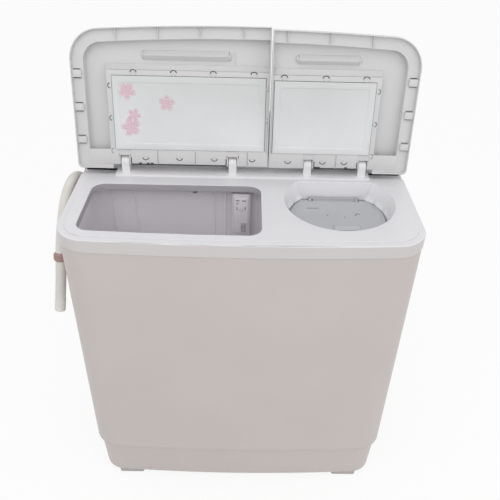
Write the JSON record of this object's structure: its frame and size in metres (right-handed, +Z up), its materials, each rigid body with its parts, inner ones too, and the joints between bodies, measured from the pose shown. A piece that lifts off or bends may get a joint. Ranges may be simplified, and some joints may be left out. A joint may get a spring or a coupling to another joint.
{
  "type": "twin tub washing machine",
  "caption": "Free-standing twin tub washing machine with a wash tub and pulsator, a spin dryer with a safety cover, hinged lids with windows, a rear control console and a side drain hose.",
  "frame": {"origin": "centre of the machine's plan, on the floor under its feet", "axes": "+Z up, -Y towards the user (front), +X to the user's right (spin side)"},
  "size_m": [0.7889, 0.4099, 1.0906],
  "materials": {
    "cabinet": "fine semi-gloss moulded surface",
    "base_tray": "fine semi-gloss moulded surface",
    "top_deck": "glossy moulded surface",
    "wash_lid": "glossy moulded surface",
    "spin_lid": "glossy moulded surface",
    "wash_lid_inner_plate": "frosted",
    "spin_lid_inner_plate": "frosted",
    "wash_lid_window": "clear moulded pane",
    "spin_lid_window": "clear moulded pane",
    "wash_lid_pins": "drawn pin stock",
    "spin_lid_pins": "drawn pin stock",
    "safety_cover_pins": "drawn pin stock",
    "spin_safety_cover": "satin moulded surface",
    "control_console": "glossy moulded surface",
    "wash_timer_knob": "satin knob with pointer rib",
    "spin_timer_knob": "satin knob with pointer rib",
    "fill_selector_knob": "satin knob with pointer rib",
    "drain_selector_knob": "satin knob with pointer rib",
    "drain_crank": "moulded",
    "fill_selector": "moulded",
    "wash_timer": "moulded case",
    "spin_timer": "moulded case",
    "wash_tub": "smooth moulded tub",
    "filter_housing": "moulded",
    "lint_filter": "moulded",
    "drain_strainer": "moulded",
    "pulsator": "smooth moulded disc",
    "pulsator_screw": "plated steel",
    "pulsator_shaft": "plated steel",
    "bracket_bolts": "plated steel",
    "case_screws": "plated steel",
    "shaft_seal": "black rubber",
    "gearbox_housing": "die-cast",
    "wash_motor_pulley": "die-cast",
    "gearbox_pulley": "die-cast",
    "drive_belt": "ribbed black rubber",
    "wash_motor": "painted motor shell",
    "spin_motor": "painted motor shell",
    "drive_bracket": "galvanised sheet",
    "rear_panel": "galvanised sheet",
    "capacitor": "moulded can",
    "spin_outer_tub": "moulded tub",
    "spin_basket": "perforated moulding",
    "spin_shaft": "ground steel",
    "spin_bearing": "ground steel",
    "spin_bellows": "black rubber",
    "motor_cushions": "black rubber",
    "brake_disc": "die-cast",
    "brake_lever": "pressed steel with pad",
    "drain_valve_body": "moulded",
    "drain_valve_plug": "rubber plug",
    "drain_pull_rod": "wire",
    "drain_pipe": "flexible pipe",
    "drain_outlet_elbow": "moulded",
    "drain_hose": "flexible hose",
    "hose_clip": "moulded clip",
    "cord_gland": "rubber grommet",
    "lid_bumpers": "soft pads",
    "feet": "moulded feet",
    "wiring_harness": "sleeved leads"
  },
  "bodies": {
    "machine": {"base_tray": "base_tray", "feet": "feet", "cabinet": "cabinet", "rear_panel": "rear_panel", "case_screws": "case_screws", "cord_gland": "cord_gland", "top_deck": "top_deck", "lid_bumpers": "lid_bumpers", "control_console": "control_console", "wash_timer": "wash_timer", "spin_timer": "spin_timer", "fill_selector": "fill_selector", "wash_tub": "wash_tub", "filter_housing": "filter_housing", "drain_strainer": "drain_strainer", "shaft_seal": "shaft_seal", "gearbox_housing": "gearbox_housing", "drive_belt": "drive_belt", "wash_motor": "wash_motor", "drive_bracket": "drive_bracket", "bracket_bolts": "bracket_bolts", "capacitor": "capacitor", "spin_outer_tub": "spin_outer_tub", "spin_bellows": "spin_bellows", "spin_bearing": "spin_bearing", "spin_motor": "spin_motor", "motor_cushions": "motor_cushions", "drain_valve_body": "drain_valve_body", "drain_pipe": "drain_pipe", "drain_outlet_elbow": "drain_outlet_elbow", "drain_hose": "drain_hose", "hose_clip": "hose_clip", "wiring_harness": "wiring_harness"},
    "wash_lid": {"wash_lid": "wash_lid", "wash_lid_pins": "wash_lid_pins", "wash_lid_window": "wash_lid_window", "wash_lid_inner_plate": "wash_lid_inner_plate"},
    "spin_lid": {"spin_lid": "spin_lid", "spin_lid_pins": "spin_lid_pins", "spin_lid_window": "spin_lid_window", "spin_lid_inner_plate": "spin_lid_inner_plate"},
    "safety_cover": {"spin_safety_cover": "spin_safety_cover", "safety_cover_pins": "safety_cover_pins"},
    "wash_timer_knob": {"wash_timer_knob": "wash_timer_knob"},
    "spin_timer_knob": {"spin_timer_knob": "spin_timer_knob"},
    "fill_selector_knob": {"fill_selector_knob": "fill_selector_knob"},
    "drain_selector": {"drain_selector_knob": "drain_selector_knob", "drain_crank": "drain_crank"},
    "pulsator": {"pulsator": "pulsator", "pulsator_screw": "pulsator_screw", "pulsator_shaft": "pulsator_shaft"},
    "gearbox_pulley": {"gearbox_pulley": "gearbox_pulley"},
    "motor_pulley": {"wash_motor_pulley": "wash_motor_pulley"},
    "spin_rotor": {"spin_basket": "spin_basket", "spin_shaft": "spin_shaft", "brake_disc": "brake_disc"},
    "brake_lever": {"brake_lever": "brake_lever"},
    "drain_plug": {"drain_valve_plug": "drain_valve_plug", "drain_pull_rod": "drain_pull_rod"},
    "lint_filter": {"lint_filter": "lint_filter"}
  },
  "joints": [
    {"name": "wash_lid_hinge", "type": "hinge", "parent": "machine", "child": "wash_lid", "pos_m": [-0.145, 0.089, 0.797], "axis": [1, 0, 0], "range_deg": [0, 103.3]},
    {"name": "spin_lid_hinge", "type": "hinge", "parent": "machine", "child": "spin_lid", "pos_m": [0.208, 0.089, 0.797], "axis": [1, 0, 0], "range_deg": [0, 97.8]},
    {"name": "safety_cover_hinge", "type": "hinge", "parent": "machine", "child": "safety_cover", "pos_m": [0.2086, 0.048, 0.731], "axis": [1, 0, 0], "range_deg": [-75, 0]},
    {"name": "wash_timer_turn", "type": "hinge", "parent": "machine", "child": "wash_timer_knob", "pos_m": [-0.27, 0.144, 0.853], "axis": [0, 0.5496, -0.8354], "range_deg": [0, 315]},
    {"name": "spin_timer_turn", "type": "hinge", "parent": "machine", "child": "spin_timer_knob", "pos_m": [0.24, 0.144, 0.853], "axis": [0, 0.5496, -0.8354], "range_deg": [0, 300]},
    {"name": "fill_selector_turn", "type": "hinge", "parent": "machine", "child": "fill_selector_knob", "pos_m": [-0.11, 0.144, 0.853], "axis": [0, 0.5496, -0.8354], "range_deg": [0, 180]},
    {"name": "drain_selector_turn", "type": "hinge", "parent": "machine", "child": "drain_selector", "pos_m": [0.08, 0.144, 0.853], "axis": [0, 0.5496, -0.8354], "range_deg": [0, 90.1]},
    {"name": "drain_plug_lift", "type": "slide", "parent": "machine", "child": "drain_plug", "axis": [0, 0, 1], "range_m": [0, 0.012]},
    {"name": "gearbox_pulley_spin", "type": "hinge", "parent": "machine", "child": "gearbox_pulley", "pos_m": [-0.15, -0.06, 0.22], "axis": [0, 0, 1], "continuous": true},
    {"name": "pulsator_spin", "type": "hinge", "parent": "machine", "child": "pulsator", "pos_m": [-0.15, -0.06, 0.31], "axis": [0, 0, 1], "continuous": true},
    {"name": "motor_pulley_spin", "type": "hinge", "parent": "machine", "child": "motor_pulley", "pos_m": [-0.285, 0.04, 0.22], "axis": [0, 0, 1], "continuous": true},
    {"name": "spin_rotor_spin", "type": "hinge", "parent": "machine", "child": "spin_rotor", "pos_m": [0.2086, -0.0294, 0.34], "axis": [0, 0, 1], "continuous": true},
    {"name": "brake_lever_turn", "type": "hinge", "parent": "machine", "child": "brake_lever", "pos_m": [0.2686, -0.0574, 0.305], "axis": [0, 0, 1], "range_deg": [-8.1, 0]},
    {"name": "lint_filter_slide", "type": "slide", "parent": "machine", "child": "lint_filter", "axis": [0, -1, 0], "range_m": [0, 0.05]}
  ],
  "couplings": [
    {"joint": "drain_selector_turn", "follows": "drain_plug_lift", "rad_per_m": 130.9},
    {"joint": "pulsator_spin", "follows": "gearbox_pulley_spin", "ratio": 0.25},
    {"joint": "motor_pulley_spin", "follows": "gearbox_pulley_spin", "ratio": 3.4091},
    {"joint": "brake_lever_turn", "follows": "spin_lid_hinge", "ratio": -0.0818}
  ]
}
